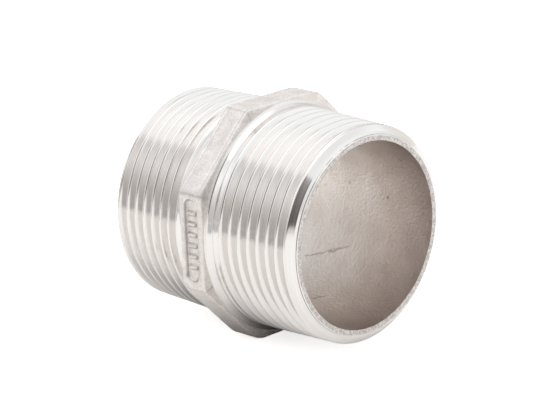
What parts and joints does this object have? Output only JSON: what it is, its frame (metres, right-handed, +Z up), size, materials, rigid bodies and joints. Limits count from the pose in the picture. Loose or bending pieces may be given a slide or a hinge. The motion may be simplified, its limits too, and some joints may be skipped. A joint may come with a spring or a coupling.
{
  "type": "hex nipple",
  "caption": "Short stainless pipe nipple: tapered male thread on both ends, octagonal wrench collar in the middle, plain through bore.",
  "frame": {"origin": "on the bore axis, half-way between the two end faces, which is the middle of the collar and of the whole part", "axes": "+X along the bore, towards the end nearer the camera; +Z up, square to the top wrench flat; -Y faces the wrench flat that carries the shallow panel"},
  "size_m": [0.047, 0.045, 0.045],
  "materials": {
    "stainless_casting": "stainless casting, blasted matte on the collar and in the bore, bright turned threads, chamfers and end rings"
  },
  "bodies": {
    "root": {"nipple_body": "stainless_casting"}
  },
  "joints": []
}
